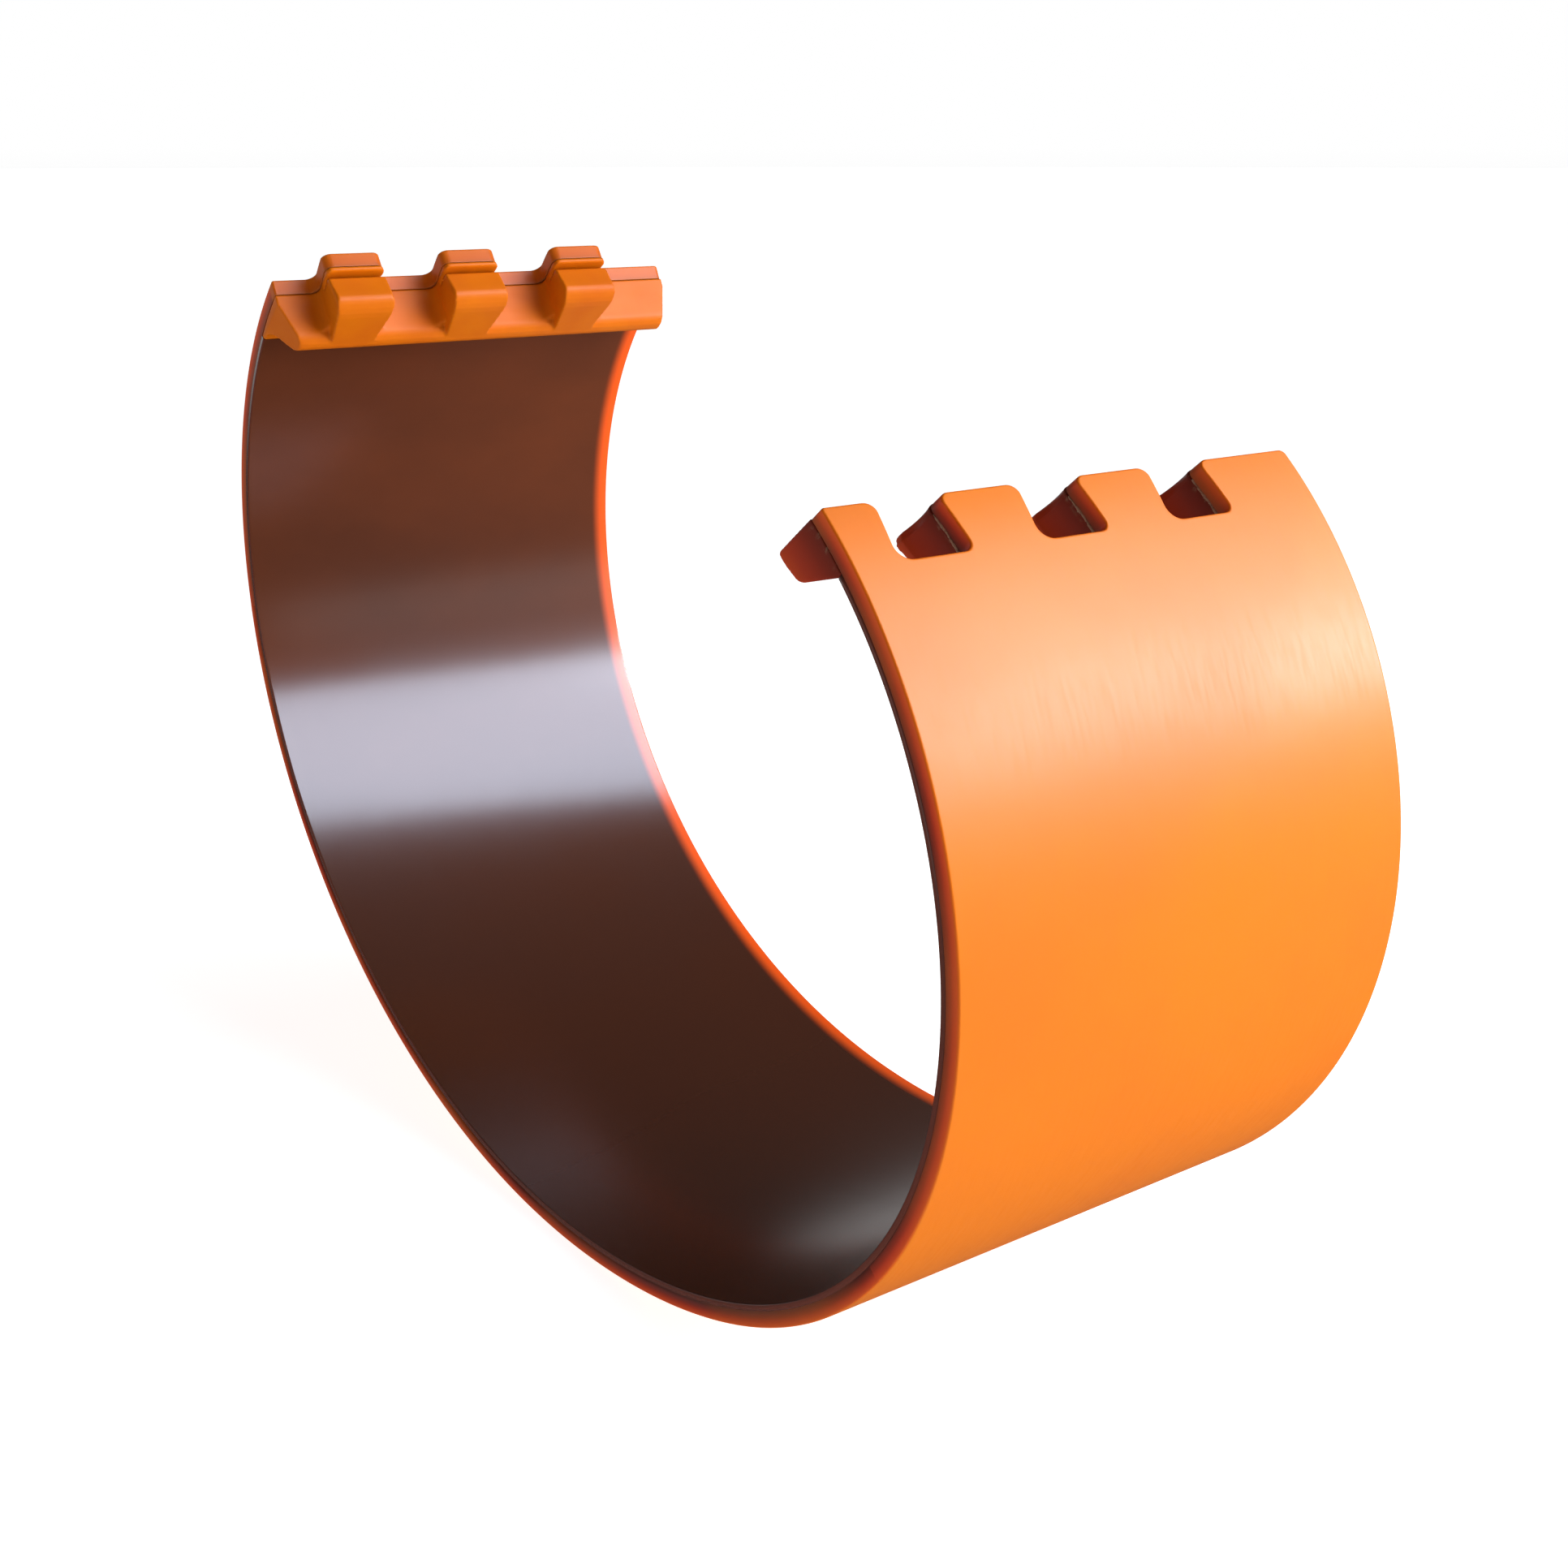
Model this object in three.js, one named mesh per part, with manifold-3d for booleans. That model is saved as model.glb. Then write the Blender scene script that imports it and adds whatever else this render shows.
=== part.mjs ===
// Open cast-polyurethane anvil cover: a wide two-ply band bent into a C, with a
// dovetail finger lock on its left end and the matching notched lock on its
// right end.  Z is up, the ring's axis lies along Y, the band rests on Z = 0.
//
// The band is elastic.  It is divided into nine stations that hinge on each
// other at mid-wall, each station carrying its own length of both plies.
import * as THREE from 'three';
import { mergeVertices } from 'three/addons/utils/BufferGeometryUtils.js';
import Module from 'manifold-3d';

// ---------------------------------------------------------------- dimensions
const WIDTH = 250;            // band width, along Y
const WALL = 11;              // whole wall thickness
const WEAR_T = 8;             // outer, orange wear ply
const PLY_GAP = 0.3;          // bond line between the plies
const LENGTH = 1376.2;        // developed length of the outer surface
const START_ANGLE = -142.447; // tangent direction at the finger end, degrees
const ORIGIN_X = 255.165;     // from the finger end's outer edge to the box centre
const ORIGIN_Z = -472.237;    // and to the lowest point of the band
// curvature of the outer surface (1/m) at equal steps from the finger end
const CURVATURE = [4.027, 4.402, 4.589, 4.62, 4.525, 4.336, 4.083, 3.798, 3.512,
  3.25, 3.021, 2.824, 2.662, 2.535, 2.43, 2.331, 2.226, 2.113, 2.053, 2.119,
  2.385, 2.89, 3.528, 4.156, 4.631, 4.849, 4.848, 4.705, 4.495, 4.295, 4.181,
  4.228, 4.512];

const HINGE_DEPTH = 5.5;      // flex axes lie at mid-wall
const HINGE_AT = [275.2, 376, 476.7, 577.4, 678.2, 778.9, 879.7, 980.5];
const CLOSE_DEG = [9.5, 3.67, 8.5, 12.07, 14.48, 14.93, 10.67, 3.07];
const OPEN_DEG = [6, 1.6, 3.6, 5.1, 6.1, 6.3, 4.5, 1.4];
const FLEX_GAP = 0.36;        // clear gap between stations at mid-wall
const FACET_DEG = 3.2;        // arc step of the faceted band

const FACE_SLOPE = 0.24;      // tilt of the mating faces, mm per mm of depth
const LOCK_DEPTH = 34;        // inner reach of both lock ends below the outer face
const FINGER_Y = [-85.5, -15, 56];   // centres of the three fingers and notches
const FINGER_ROOT = 14.4;     // half widths of a finger
const FINGER_HEAD = 17.4;
const LIP_FACE = 29.6;        // depth of the flat part of the finger side's mating face
const FINGER_CAP = 25.2;      // reach of the cap tongue past the mating edge
const NOTCH_MOUTH = 15.1;     // half widths of a notch
const NOTCH_DEEP = 18.4;
const NOTCH_DEPTH = 27.5;
const TAB_R = 4.5;              // tab tip radius
const NOTCH_R = 4.5;          // radius at the notch bottom
const BAR_BACK = 38;          // finger lock's flange behind the mating edge
const TOOTH_BACK = 25;        // tooth's flange behind the mating edge

// -------------------------------------------------------------- centre line
const RAD = Math.PI / 180;
const STEP = 0.5;
const PAD = 40;
const N = Math.round(LENGTH / STEP) + 2 * PAD / STEP;
const table = [];
{
  const kAt = (s) => {
    const u = Math.min(Math.max(s / LENGTH, 0), 1) * (CURVATURE.length - 1);
    const i = Math.min(Math.floor(u), CURVATURE.length - 2);
    return (CURVATURE[i] + (CURVATURE[i + 1] - CURVATURE[i]) * (u - i)) / 1000;
  };
  const walk = (dir, count) => {
    let x = 0, z = 0, a = START_ANGLE * RAD, s = 0;
    const out = [[0, 0, 0, a]];
    for (let i = 0; i < count; i++) {
      const da = (kAt(s) + kAt(s + dir * STEP)) / 2 * dir * STEP;
      x += Math.cos(a + da / 2) * dir * STEP;
      z += Math.sin(a + da / 2) * dir * STEP;
      a += da; s += dir * STEP;
      out.push([s, x, z, a]);
    }
    return out;
  };
  const back = walk(-1, PAD / STEP).slice(1).reverse();
  table.push(...back, ...walk(1, N - PAD / STEP));
}
function frameAt(s) {
  const u = (s + PAD) / STEP;
  const i = Math.min(Math.max(Math.floor(u), 0), table.length - 2);
  const f = u - i, p = table[i], q = table[i + 1];
  const a = p[3] + (q[3] - p[3]) * f;
  return {
    x: p[1] + (q[1] - p[1]) * f - ORIGIN_X,
    z: p[2] + (q[2] - p[2]) * f - ORIGIN_Z,
    a, tx: Math.cos(a), tz: Math.sin(a), nx: -Math.sin(a), nz: Math.cos(a),
  };
}
// point of the band at station s and depth d below its outer face
function on(s, d) {
  const f = frameAt(s);
  return [f.x + d * f.nx, f.z + d * f.nz];
}
// flat end frames: h runs past the end, d runs inwards
const FE = frameAt(0), SE = frameAt(LENGTH);
const finger2 = (d, h) => [FE.x + d * FE.nx - h * FE.tx, FE.z + d * FE.nz - h * FE.tz];
const slot2 = (d, h) => [SE.x + d * SE.nx + h * SE.tx, SE.z + d * SE.nz + h * SE.tz];

// ------------------------------------------------------------ solid helpers
const wasm = await Module();
wasm.setup();

function toManifold(geometry) {
  const g = geometry.clone();
  g.deleteAttribute('normal');
  g.deleteAttribute('uv');
  const m = mergeVertices(g, 1e-4);
  return new wasm.Manifold(new wasm.Mesh({
    numProp: 3,
    vertProperties: new Float32Array(m.attributes.position.array),
    triVerts: new Uint32Array(m.index.array),
  }));
}
function toGeometry(solid) {
  const mesh = solid.getMesh();
  const n = mesh.numProp;
  const pos = new Float32Array(mesh.vertProperties.length / n * 3);
  for (let i = 0; i < pos.length / 3; i++) {
    for (let k = 0; k < 3; k++) pos[3 * i + k] = mesh.vertProperties[n * i + k];
  }
  const g = new THREE.BufferGeometry();
  g.setAttribute('position', new THREE.BufferAttribute(pos, 3));
  g.setIndex(new THREE.BufferAttribute(new Uint32Array(mesh.triVerts), 1));
  const flat = g.toNonIndexed();
  flat.computeVertexNormals();
  return flat;
}
// outline (a, b) pushed along w from w0 to w1, laid out on three axes
function prism(outline, u, v, w, origin, w0, w1) {
  const shape = new THREE.Shape(outline.map(([a, b]) => new THREE.Vector2(a, b)));
  const g = new THREE.ExtrudeGeometry(shape, { depth: w1 - w0, steps: 1, bevelEnabled: false });
  g.translate(0, 0, w0);
  const m = new THREE.Matrix4().makeBasis(u, v, w).setPosition(origin);
  g.applyMatrix4(m);
  if (m.determinant() < 0) {
    const p = g.attributes.position.array;
    for (let i = 0; i < p.length; i += 9) {
      for (let k = 0; k < 3; k++) [p[i + 3 + k], p[i + 6 + k]] = [p[i + 6 + k], p[i + 3 + k]];
    }
  }
  return toManifold(g);
}
const X = new THREE.Vector3(1, 0, 0), Y = new THREE.Vector3(0, 1, 0), Z = new THREE.Vector3(0, 0, 1);
const ZERO = new THREE.Vector3();
// outline in the XZ plane pushed along Y
const across = (outline, y0 = -WIDTH / 2, y1 = WIDTH / 2) => prism(outline, X, Z, Y, ZERO, y0, y1);

// --------------------------------------------------------- band cross cuts
// relief of a station's end face at depth d, on one side of hinge j
const relief = (j, d) => FLEX_GAP / 2 + (d > HINGE_DEPTH
  ? (d - HINGE_DEPTH) * Math.tan((CLOSE_DEG[j] / 2 + 0.2) * RAD)
  : (HINGE_DEPTH - d) * Math.tan((OPEN_DEG[j] / 2 + 0.3) * RAD));
// end face of a layer d0..d1 at hinge j; side -1 ends before it, +1 starts after
function hingeFace(j, side, d0, d1) {
  const f = frameAt(HINGE_AT[j]);
  const ds = [d0];
  if (d0 < HINGE_DEPTH && d1 > HINGE_DEPTH) ds.push(HINGE_DEPTH);
  ds.push(d1);
  return ds.map((d) => {
    const r = side * relief(j, d);
    return [f.x + d * f.nx + r * f.tx, f.z + d * f.nz + r * f.tz];
  });
}
// outline of one layer between two end faces (each listed from d0 to d1)
function layer(startFace, endFace, s0, s1, d0, d1) {
  const turn = Math.abs(frameAt(s1).a - frameAt(s0).a) / RAD;
  const n = Math.max(2, Math.round(turn / FACET_DEG));
  const outer = [], inner = [];
  for (let i = 1; i < n; i++) {
    const s = s0 + (s1 - s0) * i / n;
    outer.push(on(s, d0));
    inner.push(on(s, d1));
  }
  return [...outer, ...endFace, ...inner.reverse(), ...startFace.slice().reverse()];
}

// ---------------------------------------------------------- lock end shapes
const arc = (cx, cy, r, a0, a1, n = 4) => Array.from({ length: n + 1 }, (_, i) => {
  const a = (a0 + (a1 - a0) * i / n) * RAD;
  return [cx + r * Math.cos(a), cy + r * Math.sin(a)];
});
const mirrorOutline = (half) => [...half, ...half.slice().reverse().map(([a, b]) => [-a, b])];

// finger in plan: half width against reach h, root well inside the bar
function fingerPlan(tip) {
  const k = (FINGER_HEAD - FINGER_ROOT) / 19;
  const r = 5;
  return mirrorOutline([
    [FINGER_ROOT - 14 * k, -14],
    [FINGER_HEAD, 19 - (25.2 - tip)],
    ...arc(FINGER_HEAD - r, tip - r, r, 8, 90, 4),
  ]);
}
// fillet between a finger's root and the mating face
const rootFillet = mirrorOutline([
  [FINGER_ROOT + 5.6, -2], [FINGER_ROOT + 5.6, 0.05],
  [FINGER_ROOT + 2.9, 0.9], [FINGER_ROOT + 1.2, 2.6], [FINGER_ROOT + 0.7, 5.2],
]);
// dovetail notch in plan: h is negative inside the band
const notchPlan = (() => {
  const k = (NOTCH_DEEP - NOTCH_MOUTH) / 22.5;
  return mirrorOutline([
    [NOTCH_MOUTH - 16 * k, 16],
    [NOTCH_DEEP, -NOTCH_DEPTH + NOTCH_R],
    ...arc(NOTCH_DEEP - NOTCH_R, -NOTCH_DEPTH + NOTCH_R, NOTCH_R, -12, -90, 3),
  ]);
})();
// rounded tab tips either side of a notch's mouth, following the tilted face
const mouthPlan = mirrorOutline([
  [NOTCH_MOUTH + TAB_R, 16],
  ...arc(NOTCH_MOUTH + TAB_R + 0.4, -TAB_R, TAB_R, 92, 176, 4).map(([a, b]) => [a, b + 0.05]),
  [NOTCH_MOUTH + 0.3, -TAB_R - 0.6],
]);

const slotT = new THREE.Vector3(SE.tx, 0, SE.tz), slotN = new THREE.Vector3(SE.nx, 0, SE.nz);
const slotO = new THREE.Vector3(SE.x, 0, SE.z);
const fingT = new THREE.Vector3(-FE.tx, 0, -FE.tz), fingN = new THREE.Vector3(FE.nx, 0, FE.nz);
const fingO = new THREE.Vector3(FE.x, 0, FE.z);
const tilt = (n, t, k) => n.clone().addScaledVector(t, k);

let notches = null;
for (const y of FINGER_Y) {
  const o = slotO.clone().setY(y);
  const cut = prism(notchPlan, Y, slotT, slotN, o, -6, 48)
    .add(prism(mouthPlan, Y, slotT, tilt(slotN, slotT, FACE_SLOPE), o, -6, 48));
  notches = notches ? notches.add(cut) : cut;
}

// ------------------------------------------------------------------- parts
const root = new THREE.Group();
root.name = 'anvil_cover';
const ORANGE = 0xf07a1e, AMBER = 0x9c3a22, LOCK = 0xd2551d;
function piece(parent, origin, name, solid, color, roughness) {
  const g = toGeometry(solid);
  g.translate(-origin[0], 0, -origin[1]);
  const mesh = new THREE.Mesh(g, new THREE.MeshStandardMaterial({ color, roughness, metalness: 0 }));
  mesh.name = name;
  parent.add(mesh);
}

const LAST = HINGE_AT.length;
const BACK_D = WEAR_T + PLY_GAP;
for (let i = 0; i <= LAST; i++) {
  const s0 = i === 0 ? 0 : HINGE_AT[i - 1];
  const s1 = i === LAST ? LENGTH : HINGE_AT[i];
  const origin = on(i === 0 ? HINGE_AT[0] : s0, HINGE_DEPTH);
  const group = new THREE.Group();
  group.position.set(origin[0], 0, origin[1]);
  root.add(group);
  const label = i === 0 ? 'finger_arm' : i === LAST ? 'slot_arm' : `station_${i}`;

  // outer wear ply
  const wearStart = i === 0
    ? [on(1.2, 0), on(0.3, 1.2), on(FACE_SLOPE * WEAR_T, WEAR_T)]
    : hingeFace(i - 1, 1, 0, WEAR_T);
  const wearEnd = i === LAST
    ? [on(LENGTH - 1.5, 0), on(LENGTH + 0.2, 1.8), on(LENGTH + FACE_SLOPE * WEAR_T, WEAR_T)]
    : hingeFace(i, -1, 0, WEAR_T);
  let wear = across(layer(wearStart, wearEnd, s0, s1, 0, WEAR_T));
  if (i === 0) {
    // cap tongues over the three fingers
    const capStrip = layer(
      [on(-FINGER_CAP - 4, 0), on(-FINGER_CAP - 4, WEAR_T)],
      [on(6, 0), on(6, WEAR_T)], -FINGER_CAP - 4, 6, 0, WEAR_T);
    for (const y of FINGER_Y) {
      const o = fingO.clone().setY(y);
      const plan = prism(fingerPlan(FINGER_CAP), Y, fingT, fingN, o, -6, 16)
        .add(prism(rootFillet, Y, fingT, tilt(fingN, fingT, -FACE_SLOPE), o, 0.9, 16));
      wear = wear.add(across(capStrip, y - 24, y + 24).intersect(plan));
    }
  }
  if (i === LAST) wear = wear.subtract(notches);
  piece(group, origin, `wear_ply_${label}`, wear, ORANGE, 0.38);

  // inner backing ply, which stops short of both lock ends
  const b0 = i === 0 ? BAR_BACK + PLY_GAP : s0;
  const b1 = i === LAST ? LENGTH - TOOTH_BACK - PLY_GAP : s1;
  const backStart = i === 0 ? [on(b0, BACK_D), on(b0, WALL)] : hingeFace(i - 1, 1, BACK_D, WALL);
  const backEnd = i === LAST ? [on(b1, BACK_D), on(b1, WALL)] : hingeFace(i, -1, BACK_D, WALL);
  let back = across(layer(backStart, backEnd, b0, b1, BACK_D, WALL));
  if (i === LAST) back = back.subtract(notches);
  piece(group, origin, `backing_ply_${label}`, back, AMBER, 0.45);

  if (i === 0) {
    // finger lock: bonded lip with three dovetail finger bodies
    const top = [];
    for (let s = FACE_SLOPE * BACK_D; s < BAR_BACK; s += 6) top.push(on(s, BACK_D));
    const bar = across([
      ...top, on(BAR_BACK, BACK_D), on(BAR_BACK, WALL),
      finger2(15, -29), finger2(20.5, -24.8), finger2(27, -22.4), finger2(31.6, -20.3),
      finger2(33.9, -17.8), finger2(34.7, -14.4), finger2(34.1, -10.9), finger2(32.3, -8.5),
      finger2(LIP_FACE, -FACE_SLOPE * LIP_FACE),
    ]);
    const W2 = WIDTH / 2;
    const trim = prism([[-W2, 0], [W2, 0], [W2, 13], [W2 - 7.6, 39], [-W2 + 10, 39], [-W2, 13]],
      Y, fingN, fingT, fingO, -60, 40);
    let lock = bar.intersect(trim);
    const bodyProfile = [
      finger2(9.2, -9.4), finger2(8.42, -1.5), finger2(8.62, 8), finger2(9, 17), finger2(9.65, 24.2),
      finger2(12, 24), finger2(11.9, 8), finger2(13.1, 7.6), finger2(13.4, 19.7), finger2(14.5, 20.9),
      finger2(27, 23), finger2(30.6, 21.7), finger2(33.2, 18.2), finger2(34.3, 13),
      finger2(34.4, -12.4), finger2(30, -12.8),
    ];
    for (const y of FINGER_Y) {
      const o = fingO.clone().setY(y);
      const plan = prism(fingerPlan(24.4), Y, fingT, fingN, o, 0, 48)
        .add(prism(rootFillet, Y, fingT, tilt(fingN, fingT, -FACE_SLOPE), o, BACK_D + 0.6, LIP_FACE - 0.6));
      lock = lock.add(across(bodyProfile, y - 24, y + 24).intersect(plan));
    }
    piece(group, origin, 'finger_lock', lock, LOCK, 0.42);
  }
  if (i === LAST) {
    // slot lock: a bonded block that the notches part into four teeth
    const top = [];
    for (let s = LENGTH - TOOTH_BACK; s < LENGTH; s += 6) top.push(on(s, BACK_D));
    const block = across([
      ...top, on(LENGTH + FACE_SLOPE * BACK_D, BACK_D),
      slot2(LOCK_DEPTH - 1.2, FACE_SLOPE * (LOCK_DEPTH - 1.2)), slot2(LOCK_DEPTH, FACE_SLOPE * LOCK_DEPTH - 1.4),
      slot2(LOCK_DEPTH, 0.8), slot2(32.6, -7.4), on(LENGTH - TOOTH_BACK, WALL),
    ]).subtract(notches);
    const edges = [-WIDTH / 2 - 1, ...FINGER_Y, WIDTH / 2 + 1];
    for (let k = 0; k < 4; k++) {
      const w = edges[k + 1] - edges[k];
      const box = new THREE.BoxGeometry(900, w, 900).toNonIndexed();
      box.translate(0, (edges[k] + edges[k + 1]) / 2, 300);
      piece(group, origin, `lock_tooth_${k + 1}`, block.intersect(toManifold(box)), LOCK, 0.42);
    }
  }
}

export default root;
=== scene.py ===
"""Open cast-polyurethane anvil cover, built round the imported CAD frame.

All lengths in the helpers are millimetres in band coordinates:
s runs along the outer face from the finger end, y across the band, d inwards
from the outer face.  They become metres in the row frame as meshes are made.
"""
import math

import bmesh
import bpy
import numpy as np
from mathutils import Matrix, Vector


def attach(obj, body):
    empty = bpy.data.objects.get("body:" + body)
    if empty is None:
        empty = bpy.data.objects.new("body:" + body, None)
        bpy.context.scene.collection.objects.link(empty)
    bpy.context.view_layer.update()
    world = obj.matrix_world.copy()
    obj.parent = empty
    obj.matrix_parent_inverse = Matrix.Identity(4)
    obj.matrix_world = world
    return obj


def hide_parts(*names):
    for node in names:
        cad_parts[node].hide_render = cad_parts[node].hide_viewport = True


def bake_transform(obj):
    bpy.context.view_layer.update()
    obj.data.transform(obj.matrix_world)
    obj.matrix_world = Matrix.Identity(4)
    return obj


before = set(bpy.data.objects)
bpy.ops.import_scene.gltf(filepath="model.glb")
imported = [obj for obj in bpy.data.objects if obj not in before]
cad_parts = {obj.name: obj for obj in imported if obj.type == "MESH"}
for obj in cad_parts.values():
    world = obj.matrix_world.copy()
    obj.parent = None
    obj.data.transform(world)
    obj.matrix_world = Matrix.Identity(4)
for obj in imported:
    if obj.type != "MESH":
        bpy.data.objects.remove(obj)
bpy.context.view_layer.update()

# ------------------------------------------------------------------ the band
LENGTH = 1376.2
START_ANGLE = -142.447
ORIGIN_X, ORIGIN_Z = 255.165, -472.237
CURVATURE = [4.027, 4.402, 4.589, 4.62, 4.525, 4.336, 4.083, 3.798, 3.512,
             3.25, 3.021, 2.824, 2.662, 2.535, 2.43, 2.331, 2.226, 2.113, 2.053, 2.119,
             2.385, 2.89, 3.528, 4.156, 4.631, 4.849, 4.848, 4.705, 4.495, 4.295, 4.181,
             4.228, 4.512]
W2 = 125.0
WALL = 11.0
WEAR_T = 8.0
HINGE_AT = [275.2, 376, 476.7, 577.4, 678.2, 778.9, 879.7, 980.5]
FINGER_Y = [-85.5, -15.0, 56.0]
SLOPE = 0.24
BODIES = ["finger_arm"] + ["station_%d" % i for i in range(1, 8)] + ["slot_arm"]

_ds = 0.25
_s = np.arange(-60, LENGTH + 60 + _ds, _ds)
_k = np.interp(_s, np.linspace(0, LENGTH, len(CURVATURE)), CURVATURE) / 1000
_phi = np.concatenate([[0], np.cumsum((_k[1:] + _k[:-1]) / 2 * _ds)])
_i0 = int(round(60 / _ds))
_phi += math.radians(START_ANGLE) - _phi[_i0]
_pm = (_phi[1:] + _phi[:-1]) / 2
_x = np.concatenate([[0], np.cumsum(np.cos(_pm) * _ds)])
_z = np.concatenate([[0], np.cumsum(np.sin(_pm) * _ds)])
_x = _x - _x[_i0] - ORIGIN_X
_z = _z - _z[_i0] - ORIGIN_Z


def at(s):
    """x, z and tangent angle of the outer face at s."""
    return np.interp(s, _s, _x), np.interp(s, _s, _z), np.interp(s, _s, _phi)


def band_to_world(p):
    """(s, y, d) rows in mm to metres in the row frame."""
    p = np.asarray(p, float)
    x, z, a = at(p[:, 0])
    return np.stack([x - p[:, 2] * np.sin(a), p[:, 1], z + p[:, 2] * np.cos(a)], 1) * 0.001


def flat_frame(end):
    """Origin, outward direction and inward normal of one end, all in mm."""
    x, z, a = at(0.0 if end == "finger" else LENGTH)
    t = np.array([math.cos(a), 0, math.sin(a)]) * (-1 if end == "finger" else 1)
    n = np.array([-math.sin(a), 0, math.cos(a)])
    return np.array([x, 0, z]), t, n


def flat_to_world(end, p):
    """(h, y, d) rows: h past the end, d inwards."""
    p = np.asarray(p, float)
    o, t, n = flat_frame(end)
    return (o + p[:, :1] * t + p[:, 2:3] * n + p[:, 1:2] * np.array([0, 1, 0])) * 0.001


# ------------------------------------------------------------- mesh helpers
def mesh_object(name, verts, faces, sbd=None, sharp_faces=()):
    """A closed smooth-shaded object.  sbd holds band coordinates per vertex."""
    me = bpy.data.meshes.new(name)
    me.from_pydata([tuple(v) for v in verts], [], [tuple(f) for f in faces])
    me.validate()
    bm = bmesh.new()
    bm.from_mesh(me)
    bmesh.ops.recalc_face_normals(bm, faces=bm.faces)
    bm.to_mesh(me)
    bm.free()
    me.polygons.foreach_set("use_smooth", [True] * len(me.polygons))
    ob = bpy.data.objects.new(name, me)
    bpy.context.scene.collection.objects.link(ob)
    if sbd is not None:
        set_band(ob, sbd)
    return ob


def set_band(ob, sbd):
    """Stores where each vertex lies in the band, so that textures bend with it."""
    sbd = np.asarray(sbd, float)
    me = ob.data
    a = me.attributes.new("band", "FLOAT_VECTOR", "POINT")
    a.data.foreach_set("vector", (sbd * 0.001).astype(np.float32).ravel())
    a = me.attributes.new("depth", "FLOAT", "POINT")
    a.data.foreach_set("value", (sbd[:, 2] / WALL).astype(np.float32))


def sharpen(ob, test):
    """Marks edges sharp where both ends pass the test on band coordinates."""
    me = ob.data
    v = np.zeros(len(me.vertices) * 3, np.float32)
    me.attributes["band"].data.foreach_get("vector", v)
    v = v.reshape(-1, 3) * 1000
    ok = test(v)
    e = np.zeros(len(me.edges) * 2, np.int32)
    me.edges.foreach_get("vertices", e)
    e = e.reshape(-1, 2)
    flag = ok[e[:, 0]] & ok[e[:, 1]]
    attr = me.attributes.get("sharp_edge") or me.attributes.new("sharp_edge", "BOOLEAN", "EDGE")
    attr.data.foreach_set("value", flag)


def s_list(s0, s1, step=4.0):
    n = max(2, int(round((s1 - s0 - 0.8) / step)))
    return np.concatenate([[s0], np.linspace(s0 + 0.4, s1 - 0.4, n + 1), [s1]])


def layer_profile(d0, d1, r0, r1, ys=10):
    """Closed (y, d) outline of one layer: rounded by r0 at d0 and by r1 at d1."""
    right = []
    for r, d, sgn in ((r0, d0, 1), (r1, d1, -1)):
        if r <= 0:
            right.append([(W2 - 0.35, d), (W2, d)] if sgn > 0 else [(W2, d), (W2 - 0.35, d)])
            continue
        arc = [(W2 - r + r * math.sin(a), d + sgn * (r - r * math.cos(a))) for a in np.radians([0, 22.5, 45, 67.5, 90])]
        arc = [(W2 - r - 0.4, d)] + arc + [(W2, d + sgn * (r + 0.3))]
        right.append(arc if sgn > 0 else arc[::-1])
    half = right[0] + right[1]
    inner = [(y, d1) for y in np.linspace(W2 - 12.5, -W2 + 12.5, ys)]
    outer = [(y, d0) for y in np.linspace(-W2 + 12.5, W2 - 12.5, ys)]
    left = [(-y, d) for y, d in half[::-1]]
    return half + inner + left + outer


def strip(name, s0, s1, profile):
    """The profile swept from s0 to s1, closed at both ends."""
    ss = s_list(s0, s1)
    n = len(profile)
    sbd = np.array([(s, y, d) for s in ss for y, d in profile])
    faces = []
    for i in range(len(ss) - 1):
        for j in range(n):
            k = (j + 1) % n
            faces.append((i * n + j, i * n + k, (i + 1) * n + k, (i + 1) * n + j))
    faces.append(tuple(range(n)))
    faces.append(tuple(range((len(ss) - 1) * n, len(ss) * n)))
    ob = mesh_object(name, band_to_world(sbd), faces, sbd)
    sharpen(ob, lambda v: (np.abs(v[:, 0] - s0) < 0.02) | (np.abs(v[:, 0] - s1) < 0.02))
    return ob


def rounded(points):
    """[(a, b, radius), ...] closed polygon with each corner rounded by its radius."""
    out = []
    n = len(points)
    for i in range(n):
        p = np.array(points[i][:2], float)
        r = points[i][2]
        a = np.array(points[i - 1][:2], float) - p
        b = np.array(points[(i + 1) % n][:2], float) - p
        a /= np.linalg.norm(a)
        b /= np.linalg.norm(b)
        if r <= 0:
            out.append(tuple(p))
            continue
        half = math.acos(max(-1, min(1, a @ b))) / 2
        t = r / math.tan(half)
        c = p + (a + b) / np.linalg.norm(a + b) * r / math.sin(half)
        p0, p1 = p + a * t, p + b * t
        a0 = math.atan2(*(p0 - c)[::-1])
        a1 = math.atan2(*(p1 - c)[::-1])
        da = (a1 - a0 + math.pi) % (2 * math.pi) - math.pi
        m = max(3, int(abs(da) / math.radians(11)))
        for k in range(m + 1):
            w = a0 + da * k / m
            out.append((c[0] + r * math.cos(w), c[1] + r * math.sin(w)))
    clean = []
    for q in out:
        if not clean or math.hypot(q[0] - clean[-1][0], q[1] - clean[-1][1]) > 0.02:
            clean.append(q)
    return clean


def inset(outline, by):
    """The outline moved inwards; it runs anticlockwise."""
    n = len(outline)
    p = np.array(outline)
    out = []
    for i in range(n):
        e0 = p[i] - p[i - 1]
        e1 = p[(i + 1) % n] - p[i]
        n0 = np.array([-e0[1], e0[0]]) / np.linalg.norm(e0)
        n1 = np.array([-e1[1], e1[0]]) / np.linalg.norm(e1)
        m = n0 + n1
        m /= max(0.3, (m @ m) / 2)
        out.append(tuple(p[i] + m * by))
    return out


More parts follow.
